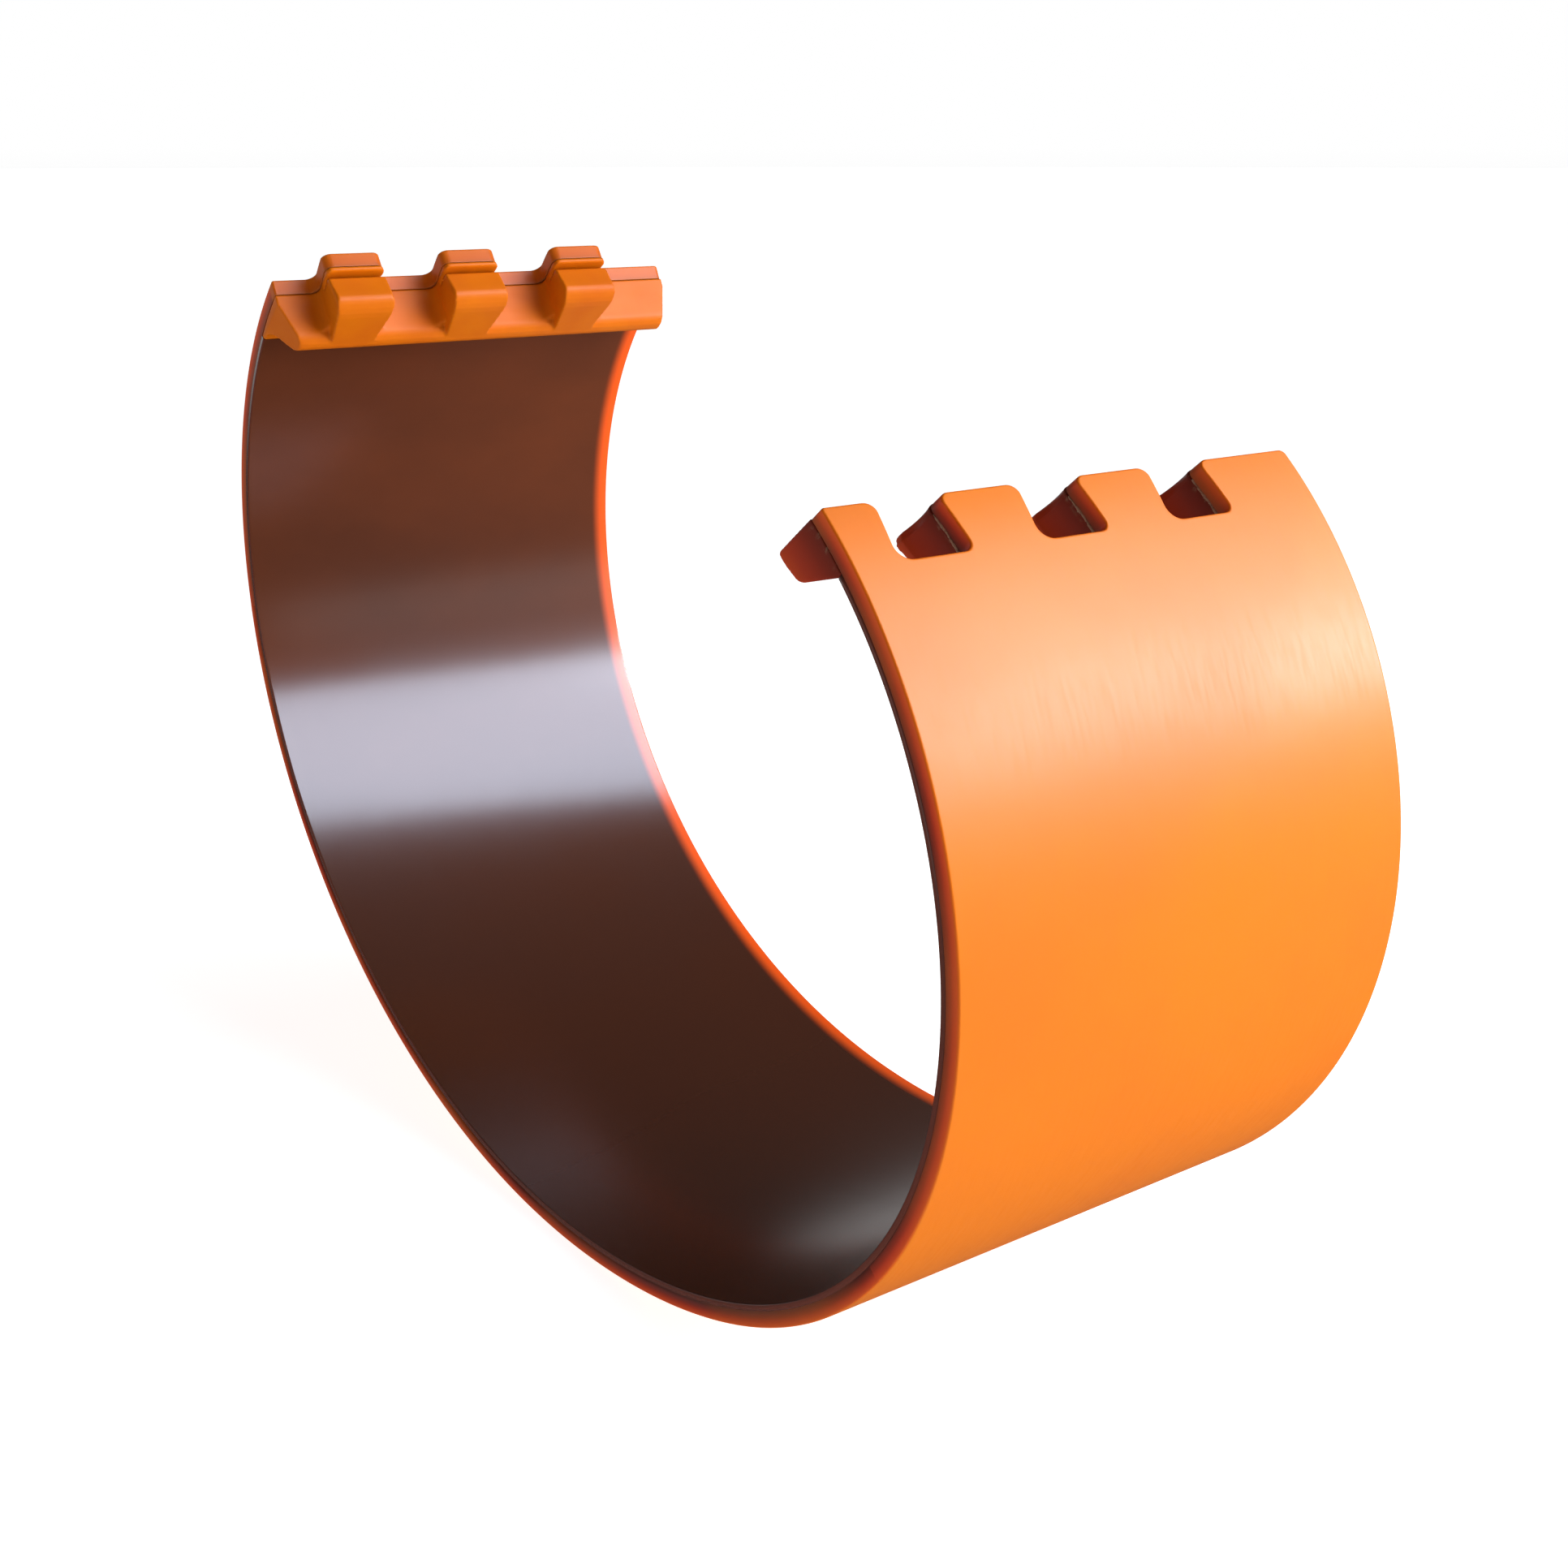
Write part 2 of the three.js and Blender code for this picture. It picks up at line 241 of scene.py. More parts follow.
def area(outline):
    p = np.array(outline)
    q = np.roll(p, -1, 0)
    return float(np.sum(p[:, 0] * q[:, 1] - q[:, 0] * p[:, 1])) / 2


def plate(name, outline, d0, d1, r0, r1, cut_s, shear, seam):
    """A curved plate cut to a plan outline (y, s), its edges rounded by r0 and r1.

    seam is the s at which it carries straight on into the next piece, with no rounding."""
    if area(outline) < 0:
        outline = outline[::-1]
    rings = []
    if r0 > 0:
        rings.append((r0 + 0.45, d0))
        rings += [(r0 * (1 - math.sin(a)), d0 + r0 * (1 - math.cos(a))) for a in np.radians([0, 22.5, 45, 67.5, 90])]
        rings.append((0, d0 + r0 + 0.35))
    else:
        rings += [(0.4, d0), (0, d0)]
    if r1 > 0:
        rings.append((0, d1 - r1 - 0.35))
        rings += [(r1 * (1 - math.cos(a)), d1 - r1 * (1 - math.sin(a))) for a in np.radians([0, 30, 60, 90])]
        rings.append((r1 + 0.45, d1))
    else:
        rings += [(0, d1), (0.4, d1)]
    bm = bmesh.new()
    loops = []
    for off, d in rings:
        pts = inset(outline, off) if off > 0 else outline
        pts = [(q[0], seam) if abs(o[1] - seam) < 1e-6 else q for o, q in zip(outline, pts)]
        loops.append([bm.verts.new((y, s, -d)) for y, s in pts])
    n = len(outline)
    for a, b in zip(loops, loops[1:]):
        for j in range(n):
            k = (j + 1) % n
            bm.faces.new((a[j], b[j], b[k], a[k]))
    bm.faces.new(loops[0])
    bm.faces.new(loops[-1][::-1])
    for s in cut_s:
        bmesh.ops.bisect_plane(bm, geom=bm.verts[:] + bm.edges[:] + bm.faces[:], dist=1e-4,
                               plane_co=(0, s, 0), plane_no=(0, 1, 0))
    for y in np.arange(-W2 + 12.5, W2, 25):
        bmesh.ops.bisect_plane(bm, geom=bm.verts[:] + bm.edges[:] + bm.faces[:], dist=1e-4,
                               plane_co=(y, 0, 0), plane_no=(1, 0, 0))
    bmesh.ops.recalc_face_normals(bm, faces=bm.faces)
    me = bpy.data.meshes.new(name)
    bm.to_mesh(me)
    bm.free()
    co = np.array([v.co for v in me.vertices])
    sbd = np.stack([co[:, 1], co[:, 0], -co[:, 2]], 1)
    ob = bpy.data.objects.new(name, me)
    bpy.context.scene.collection.objects.link(ob)
    set_band(ob, sbd)
    moved = sbd.copy()
    moved[:, 0] += shear(sbd[:, 0]) * sbd[:, 2]
    me.vertices.foreach_set("co", band_to_world(moved).astype(np.float32).ravel())
    # (y, s, -d) is a left-handed view of the band, so turn the faces round if needed
    me.update()
    bm = bmesh.new()
    bm.from_mesh(me)
    bmesh.ops.recalc_face_normals(bm, faces=bm.faces)
    bm.to_mesh(me)
    bm.free()
    me.polygons.foreach_set("use_smooth", [True] * len(me.polygons))
    return ob


def prism(points, to_world, lo, hi):
    """A closed solid: the 2-D outline pushed from lo to hi.  to_world places (a, b, c) rows."""
    n = len(points)
    rows = np.array([(a, b, c) for c in (lo, hi) for a, b in points])
    v = to_world(rows)
    faces = [tuple(range(n)), tuple(range(2 * n - 1, n - 1, -1))]
    for j in range(n):
        k = (j + 1) % n
        faces.append((j, n + j, n + k, k))
    me = bpy.data.meshes.new("tmp")
    me.from_pydata([tuple(q) for q in v], [], faces)
    bm = bmesh.new()
    bm.from_mesh(me)
    bmesh.ops.recalc_face_normals(bm, faces=bm.faces)
    bm.to_mesh(me)
    bm.free()
    ob = bpy.data.objects.new("tmp", me)
    bpy.context.scene.collection.objects.link(ob)
    return ob


def boolean(ob, other, op):
    m = ob.modifiers.new("b", "BOOLEAN")
    m.operation = op
    m.solver = "EXACT"
    m.object = other
    apply_modifiers(ob)
    bpy.data.objects.remove(other)
    return ob


def apply_modifiers(ob):
    dg = bpy.context.evaluated_depsgraph_get()
    me = bpy.data.meshes.new_from_object(ob.evaluated_get(dg))
    ob.modifiers.clear()
    ob.data = me


def cast_finish(ob, name, voxel_mm, smooth):
    """Turns a sharp solid into a softly edged casting: fine remesh, then relaxed."""
    m = ob.modifiers.new("r", "REMESH")
    m.mode = "VOXEL"
    m.voxel_size = voxel_mm * 0.001
    m.adaptivity = 0
    apply_modifiers(ob)
    m = ob.modifiers.new("s", "SMOOTH")
    m.factor = 0.5
    m.iterations = smooth
    apply_modifiers(ob)
    ob.name = name
    ob.data.name = name
    ob.data.polygons.foreach_set("use_smooth", [True] * len(ob.data.polygons))
    return ob


# --------------------------------------------------------------- materials
def hexlin(r, g, b):
    """sRGB bytes to linear."""
    return tuple(((c / 255) / 12.92 if c / 255 <= 0.04045 else ((c / 255 + 0.055) / 1.055) ** 2.4) for c in (r, g, b)) + (1,)


class Nodes:
    def __init__(self, name):
        self.mat = bpy.data.materials.new(name)
        self.mat.use_nodes = True
        self.nt = self.mat.node_tree
        self.b = self.nt.nodes["Principled BSDF"]

    def add(self, kind, **props):
        n = self.nt.nodes.new(kind)
        for k, v in props.items():
            setattr(n, k, v)
        return n

    def link(self, a, b):
        self.nt.links.new(a, b)

    def attr(self, name, out="Fac"):
        n = self.add("ShaderNodeAttribute", attribute_name=name)
        return n.outputs[out]

    def scaled(self, vec, scale):
        n = self.add("ShaderNodeVectorMath", operation="MULTIPLY")
        self.link(vec, n.inputs[0])
        n.inputs[1].default_value = scale
        return n.outputs[0]

    def noise(self, vec, scale, detail=3, rough=0.55):
        n = self.add("ShaderNodeTexNoise")
        self.link(vec, n.inputs["Vector"])
        n.inputs["Scale"].default_value = scale
        n.inputs["Detail"].default_value = detail
        n.inputs["Roughness"].default_value = rough
        return n.outputs["Fac"]

    def ramp(self, fac, stops, interp="LINEAR"):
        n = self.add("ShaderNodeValToRGB")
        n.color_ramp.interpolation = interp
        els = n.color_ramp.elements
        while len(els) < len(stops):
            els.new(0.5)
        for e, (p, c) in zip(els, stops):
            e.position = p
            e.color = c if hasattr(c, "__len__") else (c, c, c, 1)
        self.link(fac, n.inputs["Fac"])
        return n.outputs["Color"]

    def mix(self, fac, a, b, blend="MIX"):
        n = self.add("ShaderNodeMix", data_type="RGBA", blend_type=blend)
        for sock, v in ((n.inputs[0], fac), (n.inputs[6], a), (n.inputs[7], b)):
            if hasattr(v, "node"):
                self.link(v, sock)
            else:
                sock.default_value = v
        return n.outputs[2]

    def maprange(self, v, a0, a1, b0, b1, smooth=False):
        n = self.add("ShaderNodeMapRange", interpolation_type="SMOOTHSTEP" if smooth else "LINEAR")
        self.link(v, n.inputs["Value"])
        for k, val in zip(("From Min", "From Max", "To Min", "To Max"), (a0, a1, b0, b1)):
            n.inputs[k].default_value = val
        return n.outputs["Result"]

    def math(self, op, a, b):
        n = self.add("ShaderNodeMath", operation=op)
        for sock, v in ((n.inputs[0], a), (n.inputs[1], b)):
            if hasattr(v, "node"):
                self.link(v, sock)
            else:
                sock.default_value = v
        return n.outputs[0]

    def bump(self, height, strength, distance, normal=None):
        n = self.add("ShaderNodeBump")
        n.inputs["Strength"].default_value = strength
        n.inputs["Distance"].default_value = distance
        self.link(height, n.inputs["Height"])
        if normal is not None:
            self.link(normal, n.inputs["Normal"])
        return n.outputs["Normal"]


def wear_material():
    m = Nodes("wear_urethane")
    v = m.attr("band", "Vector")
    depth = m.attr("depth")
    skin = hexlin(205, 108, 9)
    # cut faces: painted light glowing through from the lit outer skin as bright orange, fading to painted shade, deep
    # maroon, further in
    rim = m.ramp(depth, [(0.0, skin), (0.03, hexlin(214, 92, 9)), (0.12, hexlin(208, 68, 8)),
                         (0.30, hexlin(186, 51, 11)), (0.45, hexlin(150, 42, 15)), (0.73, hexlin(92, 36, 23))])
    sep = m.add("ShaderNodeSeparateXYZ")
    m.link(v, sep.inputs[0])
    end = m.ramp(depth, [(0.0, skin), (0.1, hexlin(188, 90, 12)), (0.5, hexlin(182, 84, 14)), (0.68, hexlin(170, 82, 22)), (0.73, hexlin(150, 84, 40))])
    at_end = m.maprange(sep.outputs["X"], 0.0045, 0.0075, 1, 0)
    body = m.mix(at_end, rim, end)
    cloud = m.noise(v, 9, 3, 0.5)
    body = m.mix(m.maprange(cloud, 0.35, 0.7, 0, 0.4, True), body, hexlin(196, 96, 9))
    m.link(body, m.b.inputs["Base Color"])
    streak = m.noise(m.scaled(v, (1.0, 9.0, 1.0)), 55, 4, 0.6)
    rough = m.math("ADD", m.maprange(cloud, 0.3, 0.7, 0.36, 0.44), m.maprange(streak, 0.45, 0.75, 0, 0.07))
    m.link(rough, m.b.inputs["Roughness"])
    fine = m.noise(v, 1500, 2, 0.5)
    wave = m.noise(v, 60, 2, 0.5)
    n1 = m.bump(wave, 0.12, 0.0006)
    n2 = m.bump(fine, 0.10, 0.00012, n1)
    m.link(n2, m.b.inputs["Normal"])
    m.b.inputs["IOR"].default_value = 1.5
    m.b.inputs["Specular IOR Level"].default_value = 0.14
    return m.mat


def backing_material():
    m = Nodes("backing_urethane")
    v = m.attr("band", "Vector")
    depth = m.attr("depth")
    sep = m.add("ShaderNodeSeparateXYZ")
    m.link(v, sep.inputs[0])
    # painted light and shade: the ply is painted a warmer, lighter brown towards the finger lock, where more light
    # falls inside the loop, and darker further round towards the bottom
    brown = m.mix(m.maprange(sep.outputs["X"], 0.10, 0.52, 0, 1, True), hexlin(95, 47, 25), hexlin(64, 33, 20))
    cloud = m.noise(m.scaled(v, (1.0, 0.6, 1.0)), 7, 4, 0.55)
    col = m.mix(m.maprange(cloud, 0.35, 0.7, 0, 0.5), brown, hexlin(56, 29, 19))
    # its cut faces are a duller, redder brown than the moulded inside
    rim = m.maprange(sep.outputs["Y"], -0.1244, -0.1249, 0, 1, True)
    col = m.mix(rim, col, hexlin(96, 46, 34))
    # painted glow: light coming through the thin far margin of the band is painted into its colour as orange
    glow = m.maprange(sep.outputs["Y"], 0.1135, 0.1225, 0, 1, True)
    col = m.mix(glow, col, hexlin(226, 84, 20))
    m.link(col, m.b.inputs["Base Color"])
    streak = m.noise(m.scaled(v, (1.0, 14.0, 1.0)), 30, 4, 0.6)
    rough = m.math("ADD", m.maprange(cloud, 0.3, 0.7, 0.165, 0.195, True), m.maprange(streak, 0.4, 0.8, 0, 0.006, True))
    rough = m.math("ADD", rough, m.maprange(sep.outputs["X"], 0.375, 0.55, 0, 0.066, True))
    m.link(rough, m.b.inputs["Roughness"])
    fine = m.noise(v, 1200, 2, 0.5)
    wave = m.noise(m.scaled(v, (1.0, 2.2, 1.0)), 26, 3, 0.5)
    n1 = m.bump(wave, 0.07, 0.0007)
    n2 = m.bump(fine, 0.05, 0.00008, n1)
    m.link(n2, m.b.inputs["Normal"])
    m.b.inputs["IOR"].default_value = 1.5
    m.b.inputs["Specular IOR Level"].default_value = 0.42
    return m.mat


def lock_material(name, skin, deep, rough_lo, rough_hi, shaded=False):
    m = Nodes(name)
    v = m.attr("band", "Vector")
    cloud = m.noise(v, 30, 3, 0.5)
    col = m.mix(m.maprange(cloud, 0.35, 0.7, 0, 0.5), skin, deep)
    if shaded:
        # painted shade and glow: the block is painted darkest just below the bond, where it is thickest, and painted
        # lighter towards its thin inner edge, as if lit through
        painted_shade_glow = m.ramp(m.attr("depth"), [(0.0, hexlin(92, 34, 20)), (0.9 / 3.4, hexlin(86, 31, 20)), (1.6 / 3.4, hexlin(120, 35, 18)),
                                        (2.6 / 3.4, hexlin(164, 48, 18)), (1.0, hexlin(194, 66, 18))])
        scale = m.math("MULTIPLY", m.attr("depth"), 11 / 34)
        m.nt.links.remove(painted_shade_glow.node.inputs["Fac"].links[0])
        m.link(scale, painted_shade_glow.node.inputs["Fac"])
        col = m.mix(0.75, col, painted_shade_glow)
        band = m.math("MULTIPLY", m.maprange(m.attr("depth"), 13.2 / 11, 9.2 / 11, 0, 1, True),
                      m.maprange(m.noise(m.scaled(v, (1, 1, 0.5)), 260, 4, 0.65), 0.52, 0.66, 0, 0.75, True))
        col = m.mix(band, col, hexlin(126, 92, 72))
    m.link(col, m.b.inputs["Base Color"])
    streak = m.noise(m.scaled(v, (5.0, 1.0, 5.0)), 60, 4, 0.6)
    rough = m.math("ADD", m.maprange(cloud, 0.3, 0.7, rough_lo, rough_hi), m.maprange(streak, 0.45, 0.8, 0, 0.08))
    m.link(rough, m.b.inputs["Roughness"])
    fine = m.noise(v, 1400, 2, 0.5)
    wave = m.noise(v, 110, 2, 0.5)
    n1 = m.bump(wave, 0.15, 0.0004)
    n2 = m.bump(fine, 0.12, 0.00012, n1)
    m.link(n2, m.b.inputs["Normal"])
    m.b.inputs["IOR"].default_value = 1.5
    m.b.inputs["Specular IOR Level"].default_value = 0.08
    return m.mat


MAT_WEAR = wear_material()
MAT_BACK = backing_material()
MAT_FINGER = lock_material("finger_lock_urethane", hexlin(200, 102, 6), hexlin(186, 82, 8), 0.38, 0.46)
# painted shade: the teeth get a darker red copy of the orange urethane, because their walls face away from the lights
MAT_TOOTH = lock_material("tooth_urethane", hexlin(138, 40, 17), hexlin(108, 30, 15), 0.34, 0.42, True)


def dress(ob, mat):
    ob.data.materials.clear()
    ob.data.materials.append(mat)
    return ob


# ------------------------------------------------- plies between the two ends
HALF = 50.0            # each flexing strip reaches this far either side of its hinge
WEAR_PROFILE = layer_profile(0, WEAR_T, 0.7, 0)
BACK_PROFILE = layer_profile(WEAR_T, WALL, 0, 0.6)
edges = [HINGE_AT[0] - HALF] + [(a + b) / 2 for a, b in zip(HINGE_AT, HINGE_AT[1:])] + [HINGE_AT[-1] + HALF]
for j, s_h in enumerate(HINGE_AT):
    s0, s1 = edges[j], edges[j + 1]
    for kind, prof, mat, slot in (("wear", WEAR_PROFILE, MAT_WEAR, "wear_urethane"),
                                  ("backing", BACK_PROFILE, MAT_BACK, "backing_urethane")):
        ob = strip("%s_ply_flex_%d" % (kind, j + 1), s0, s1, prof)
        dress(ob, mat)
        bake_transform(ob)
        if 1 <= j + 1 <= 7:
            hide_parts("%s_ply_%s" % (kind, BODIES[j + 1]))

# --------------------------------------------------------------- finger end
FINGER_ROOT, FINGER_HEAD, FINGER_CAP = 14.4, 17.4, 25.0
S_A = edges[0]
pts = [(-W2, S_A, 0), (W2, S_A, 0), (W2, 0, 3.0)]
for yc in FINGER_Y[::-1]:
    pts += [(yc + FINGER_ROOT, 0, 5.4), (yc + FINGER_HEAD + 0.3, -FINGER_CAP, 5.0),
            (yc - FINGER_HEAD - 0.3, -FINGER_CAP, 5.0), (yc - FINGER_ROOT, 0, 5.4)]
pts += [(-W2, 0, 1.2)]
finger_plan = rounded(pts)
cuts = list(np.arange(-20, S_A - 3, 4.0)) + [S_A - 0.4]
wear_a = plate("wear_ply_finger_end", finger_plan, 0, WEAR_T, 0.9, 0.16, cuts,
               lambda s: SLOPE * np.clip((s + 6) / 6, 0, 1) * np.clip((30 - s) / 24, 0, 1), S_A)
sharpen(wear_a, lambda v: np.abs(v[:, 0] - S_A) < 0.02)
dress(wear_a, MAT_WEAR)
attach(wear_a, "finger_arm")
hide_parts("wear_ply_finger_arm")

back_a = strip("backing_ply_finger_end", 38.2, S_A, BACK_PROFILE)
dress(back_a, MAT_BACK)
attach(back_a, "finger_arm")
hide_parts("backing_ply_finger_arm")

# finger lock: the bonded lip and its three finger bodies
def finger_world(rows):
    """(d, h, y) rows of the finger end."""
    rows = np.asarray(rows, float)
    return flat_to_world("finger", rows[:, [1, 2, 0]])


def slot_world(rows):
    rows = np.asarray(rows, float)
    return flat_to_world("slot", rows[:, [1, 2, 0]])


def band_profile_point(end, s, d):
    """A band point given in an end's flat (d, h) coordinates."""
    o, t, n = flat_frame(end)
    p = band_to_world([(s, 0, d)])[0] * 1000 - o
    return (float(p @ n), float(p @ t))


lip = [band_profile_point("finger", s, WEAR_T + 0.15) for s in np.arange(2.0, 38.1, 4.0)]
lip += [band_profile_point("finger", 38.2, WEAR_T + 0.15), band_profile_point("finger", 38.2, WALL),
        (14.2, -31.0), (16.6, -27.2), (20.5, -24.6), (27.0, -22.2), (31.6, -20.2),
        (33.8, -17.8), (34.7, -14.6), (34.3, -11.2), (32.7, -8.8), (30.9, -7.6), (29.2, -7.0)]
bar = prism(lip, finger_world, -W2, W2)
trim = prism([(-W2, 0), (W2, 0), (W2, 13), (W2 - 7.6, 39), (-W2 + 10, 39), (-W2, 13)],
             lambda r: flat_to_world("finger", np.asarray(r)[:, [2, 0, 1]]), -60, 40)
bar = boolean(bar, trim, "INTERSECT")
body = [(9.2, -9.0), (8.2, -1.5), (8.4, 8.0), (8.8, 17.0), (9.4, 24.3), (11.2, 24.6), (12.0, 24.0), (12.1, 8.0), (13.3, 7.6),
        (13.6, 19.6), (14.3, 20.8), (25.0, 22.8), (27.4, 23.1), (29.4, 22.6), (31.2, 21.2), (32.8, 18.8), (33.9, 15.8),
        (34.3, 12.0), (34.5, -12.4), (30, -12.6)]
for yc in FINGER_Y:
    blk = prism(body, finger_world, yc - 30, yc + 30)
    plan = rounded([(yc + FINGER_ROOT - 1.8, -14, 0), (yc + FINGER_ROOT, 0, 0), (yc + FINGER_HEAD + 0.1, 25, 4.6),
                    (yc - FINGER_HEAD - 0.1, 25, 4.6), (yc - FINGER_ROOT, 0, 0), (yc - FINGER_ROOT + 1.8, -14, 0)])
    cut = prism(plan, lambda r: flat_to_world("finger", np.asarray(r)[:, [1, 0, 2]]), 0, 45)
    blk = boolean(blk, cut, "INTERSECT")
    # fillets at the root, leaning with the mating face
    r = 6.0
    for sgn in (1, -1):
        fil = [(yc + sgn * (FINGER_ROOT - 2), -3), (yc + sgn * (FINGER_ROOT + r + 0.3), -3), (yc + sgn * (FINGER_ROOT + r + 0.3), 0.0)]
        fil += [(yc + sgn * (FINGER_ROOT + 0.3 + r - r * math.sin(a)), r - r * math.cos(a)) for a in np.radians([22, 45, 67, 88])]
        fil += [(yc + sgn * (FINGER_ROOT - 2), r)]
        w = prism(fil, lambda q: flat_to_world("finger", np.stack([
            np.asarray(q)[:, 1] - SLOPE * np.asarray(q)[:, 2], np.asarray(q)[:, 0], np.asarray(q)[:, 2]], 1)), 8.6, 29.4)
        blk = boolean(blk, w, "UNION")
    bar = boolean(bar, blk, "UNION")
lock = cast_finish(bar, "finger_lock_body", 0.65, 6)
dress(lock, MAT_FINGER)


def band_from_flat(ob, end):
    """Texture coordinates for a piece shaped in an end's flat frame."""
    me = ob.data
    co = np.array([v.co for v in me.vertices]) * 1000
    o, t, n = flat_frame(end)
    h = (co - o) @ t
    d = (co - o) @ n
    set_band(ob, np.stack([-h if end == "finger" else LENGTH + h, co[:, 1], d], 1))


band_from_flat(lock, "finger")
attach(lock, "finger_arm")
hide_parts("finger_lock")

# ----------------------------------------------------------------- slot end
NOTCH_MOUTH, NOTCH_DEEP, NOTCH_DEPTH = 15.1, 18.4, 27.5
S_B = edges[-1]


def slot_outline(back, tip):
    pts = [(-W2, S_B, 0), (-W2, back, 1.6)]
    for yc in FINGER_Y:
        pts += [(yc - NOTCH_MOUTH, back, tip), (yc - NOTCH_DEEP, LENGTH - NOTCH_DEPTH, 6.5),
                (yc + NOTCH_DEEP, LENGTH - NOTCH_DEPTH, 4.2), (yc + NOTCH_MOUTH, back, tip)]
    pts += [(W2, back, 3.0), (W2, S_B, 0)]
    return rounded(pts)


cuts = [S_B + 0.4] + list(np.arange(S_B + 4, LENGTH - 1, 4.0))
wear_b = plate("wear_ply_slot_end", slot_outline(LENGTH, 4.8), 0, WEAR_T, 0.9, 0.4, cuts,
               lambda s: SLOPE * np.clip((s - (LENGTH - 24)) / 20, 0, 1), S_B)
sharpen(wear_b, lambda v: np.abs(v[:, 0] - S_B) < 0.02)
dress(wear_b, MAT_WEAR)
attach(wear_b, "slot_arm")
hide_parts("wear_ply_slot_arm")

pts = [(-W2, S_B, 0), (-W2, LENGTH - 25.2, 0)]
for yc in FINGER_Y:
    pts += [(yc - NOTCH_DEEP + 0.3, LENGTH - 25.2, 0), (yc - NOTCH_DEEP + 3.0, LENGTH - NOTCH_DEPTH, 0),
            (yc + NOTCH_DEEP - 3.0, LENGTH - NOTCH_DEPTH, 0), (yc + NOTCH_DEEP - 0.3, LENGTH - 25.2, 0)]
pts += [(W2, LENGTH - 25.2, 0), (W2, S_B, 0)]
back_b = plate("backing_ply_slot_end", rounded(pts), WEAR_T, WALL, 0, 0.6,
               [S_B + 0.4] + list(np.arange(S_B + 4, LENGTH - 27, 4.0)), lambda s: 0 * s, S_B)
sharpen(back_b, lambda v: np.abs(v[:, 0] - S_B) < 0.02)
dress(back_b, MAT_BACK)
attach(back_b, "slot_arm")
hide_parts("backing_ply_slot_arm")

tooth = [band_profile_point("slot", s, WEAR_T + 0.15) for s in np.arange(LENGTH - 25, LENGTH - 2, 4.0)]
tooth += [(WEAR_T + 0.15, SLOPE * (WEAR_T + 0.15)), (20, SLOPE * 20), (32.4, SLOPE * 32.4), (33.6, SLOPE * 33.6 - 0.7), (34, SLOPE * 34 - 2.2),
          (34, 1.6), (33.8, 0.0), (32.9, -6.2), (32.0, -8.2), (30.4, -10.0), band_profile_point("slot", LENGTH - 24.6, WALL + 0.2),
          band_profile_point("slot", LENGTH - 25, WALL)]


def hollow_walls(ob, centres):
    """Lets the notch walls fall back by up to 2 mm between the bond line and the inner edge."""
    me = ob.data
    co = np.array([v.co for v in me.vertices])
    o, tt, nn = flat_frame("slot")
    h = (co * 1000 - o) @ tt
    d = (co * 1000 - o) @ nn
    y = co[:, 1] * 1000
    bow = 2.0 * np.sin(np.pi * np.clip((d - 9.5) / 20.0, 0, 1)) ** 0.8
    for yc in centres:
        wall = np.interp(h, [-NOTCH_DEPTH, 0], [NOTCH_DEEP, NOTCH_MOUTH])
        off = np.abs(y - yc)
        w = np.clip(1 - (off - wall) / 9.0, 0, 1) * np.clip((h + NOTCH_DEPTH + 1.0) / 6.0, 0, 1)
        w = w * w * (3 - 2 * w)
        y = y + np.sign(y - yc) * bow * w
    co[:, 1] = y * 0.001
    me.vertices.foreach_set("co", co.astype(np.float32).ravel())
    me.update()


for k in range(4):
    a = -W2 if k == 0 else FINGER_Y[k - 1]
    b = W2 if k == 3 else FINGER_Y[k]
    blk = prism(tooth, slot_world, a, b)
    for yc in FINGER_Y[max(0, k - 1):k + 1]:
        plan = rounded([(yc - NOTCH_MOUTH + 1.9, 16, 0), (yc - NOTCH_DEEP, -NOTCH_DEPTH, 6.5),
                        (yc + NOTCH_DEEP, -NOTCH_DEPTH, 4.2), (yc + NOTCH_MOUTH - 1.9, 16, 0)])
        cut = prism(plan, lambda r: flat_to_world("slot", np.asarray(r)[:, [1, 0, 2]]), -6, 48)
        blk = boolean(blk, cut, "DIFFERENCE")
        r = 4.5
        for sgn in (1, -1):
            fl = [(yc + sgn * (NOTCH_MOUTH + r + 1.0), 16), (yc + sgn * (NOTCH_MOUTH + r + 1.0), 0.0)]
            fl += [(yc + sgn * (NOTCH_MOUTH + 0.45 + r - r * math.sin(q)), -r + r * math.cos(q)) for q in np.radians([0, 15, 30, 45, 60, 75, 88])]
            fl += [(yc + sgn * (NOTCH_MOUTH - 3), -r), (yc + sgn * (NOTCH_MOUTH - 3), 16)]
            w = prism(fl, lambda q: flat_to_world("slot", np.stack([
                np.asarray(q)[:, 1] + SLOPE * np.asarray(q)[:, 2], np.asarray(q)[:, 0], np.asarray(q)[:, 2]], 1)), -6, 48)
            blk = boolean(blk, w, "DIFFERENCE")
    t = cast_finish(blk, "lock_tooth_body_%d" % (k + 1), 0.55, 6)
    hollow_walls(t, FINGER_Y[max(0, k - 1):k + 1])
    dress(t, MAT_TOOTH)
    band_from_flat(t, "slot")
    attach(t, "slot_arm")
    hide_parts("lock_tooth_%d" % (k + 1))

# -------------------------------------------------- squeezed-out bond lines
def wobble(x, seed):
    """A smooth, repeatable unevenness between -1 and 1."""
    return (math.sin(x * 0.71 + seed) + math.sin(x * 1.83 + 2.1 * seed) * 0.6 + math.sin(x * 4.07 + 0.7 * seed) * 0.4) / 2


